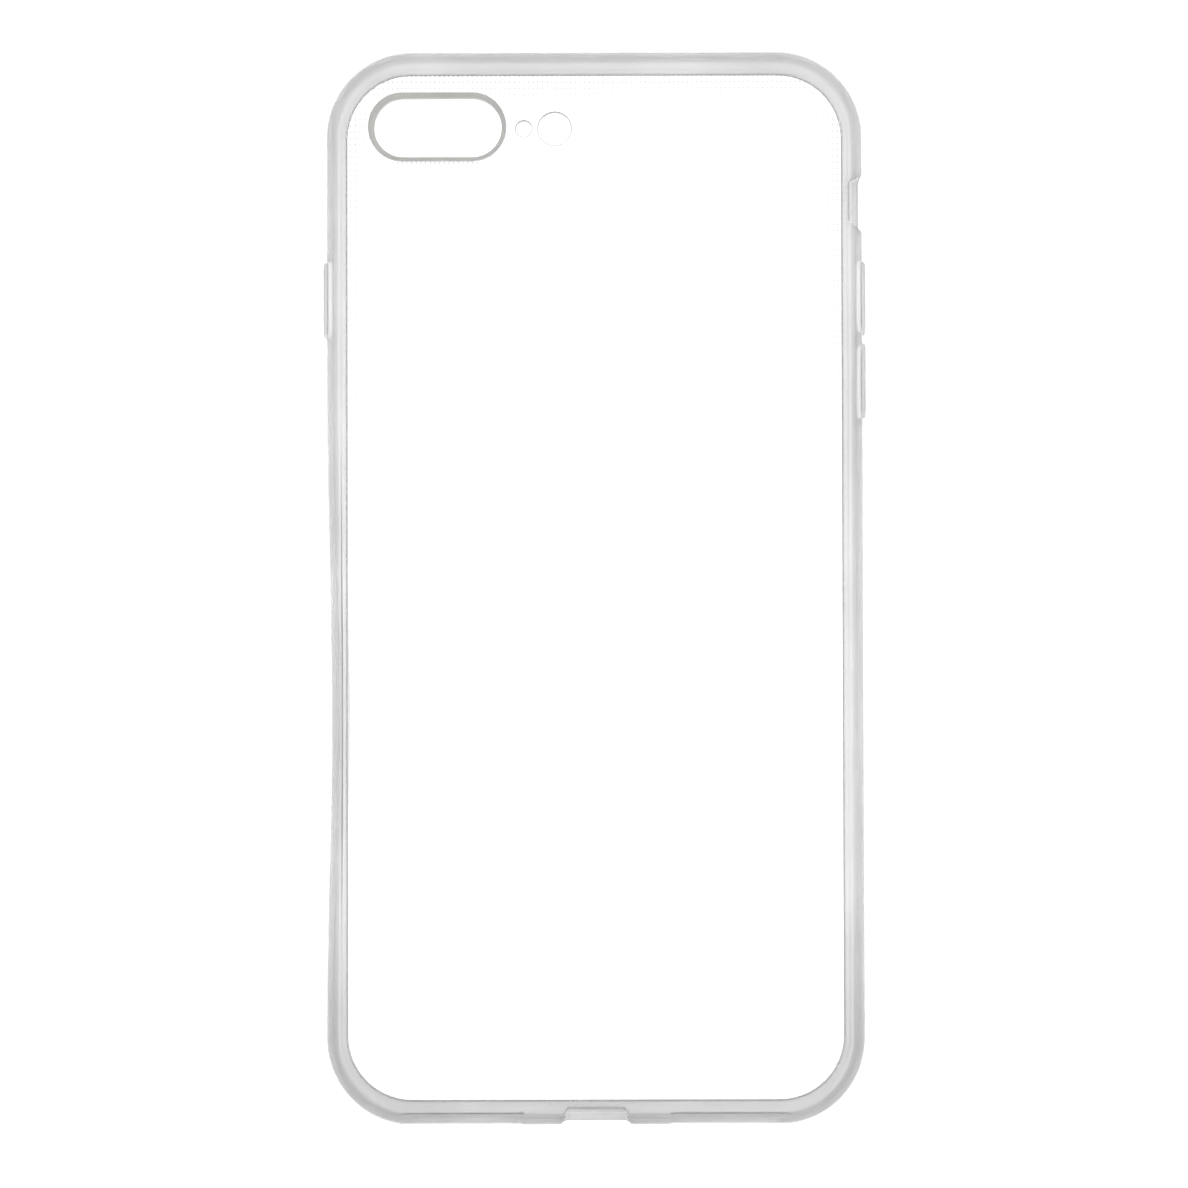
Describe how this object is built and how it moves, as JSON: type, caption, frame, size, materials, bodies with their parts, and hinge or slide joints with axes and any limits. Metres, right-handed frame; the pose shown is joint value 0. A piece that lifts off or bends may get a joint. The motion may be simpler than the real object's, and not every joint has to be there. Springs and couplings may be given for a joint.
{
  "type": "phone case",
  "caption": "Clear slab-phone case: hard back plate in a soft grey-clear bumper frame, raised camera ring and press-through side buttons on thin webs.",
  "frame": {"origin": "centre of the front lip's plane, which the case lies on", "axes": "+X towards the volume-button side, +Y towards the camera end, +Z out of the back plate"},
  "size_m": [0.0814, 0.1608, 0.0101],
  "materials": {
    "clear_plate": "water-clear polished polycarbonate with a fine dot texture on its inner face",
    "clear_soft": "glossy clear soft polyurethane that looks grey through its depth",
    "ring_soft": "satin smoky soft polyurethane",
    "button_soft": "glossy clear soft polyurethane, thicker than the wall"
  },
  "bodies": {
    "case_shell": {"back_plate": "clear_plate", "bumper_frame": "clear_soft", "camera_ring": "ring_soft", "power_web": "clear_soft", "volume_up_web": "clear_soft", "volume_down_web": "clear_soft"},
    "power_button": {"power_button": "button_soft"},
    "volume_up_button": {"volume_up_button": "button_soft"},
    "volume_down_button": {"volume_down_button": "button_soft"}
  },
  "joints": [
    {"name": "power_press", "type": "slide", "parent": "case_shell", "child": "power_button", "axis": [1, 0, 0], "range_m": [0, 0.00035], "stiffness_N_per_m": 2000},
    {"name": "volume_up_press", "type": "slide", "parent": "case_shell", "child": "volume_up_button", "axis": [-1, 0, 0], "range_m": [0, 0.00035], "stiffness_N_per_m": 2000},
    {"name": "volume_down_press", "type": "slide", "parent": "case_shell", "child": "volume_down_button", "axis": [-1, 0, 0], "range_m": [0, 0.00035], "stiffness_N_per_m": 2000}
  ]
}
